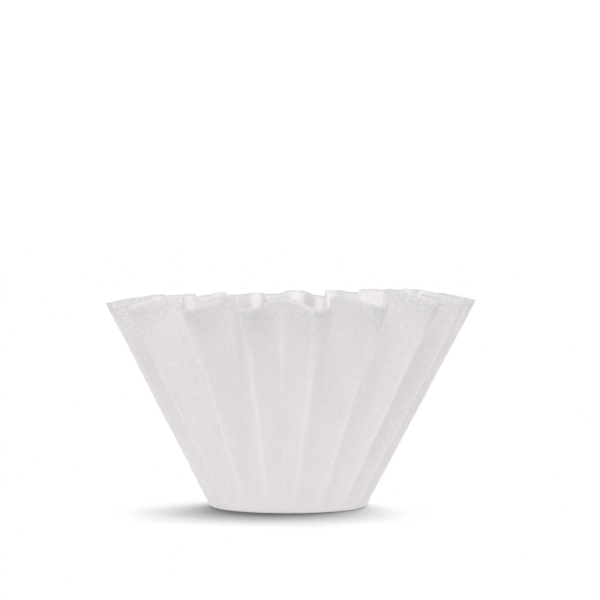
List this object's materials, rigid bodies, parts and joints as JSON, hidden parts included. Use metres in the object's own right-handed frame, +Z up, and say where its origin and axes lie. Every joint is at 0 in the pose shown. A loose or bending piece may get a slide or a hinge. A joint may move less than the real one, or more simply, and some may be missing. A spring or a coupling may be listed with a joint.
{
  "type": "paper coffee filter",
  "caption": "Basket-shaped paper coffee filter: one pressed disc of thin crepe paper with a flat round base and a fluted wall that flares upwards.",
  "frame": {"origin": "centre of the underside of the flat base", "axes": "+Z up through the open rim, -Y towards the front, where the rim's flutes are widest, +X to the right"},
  "size_m": [0.111, 0.1103, 0.066],
  "materials": {
    "paper": "matte, unglazed crepe paper"
  },
  "bodies": {
    "root": {"filter_paper": "paper"}
  },
  "joints": []
}
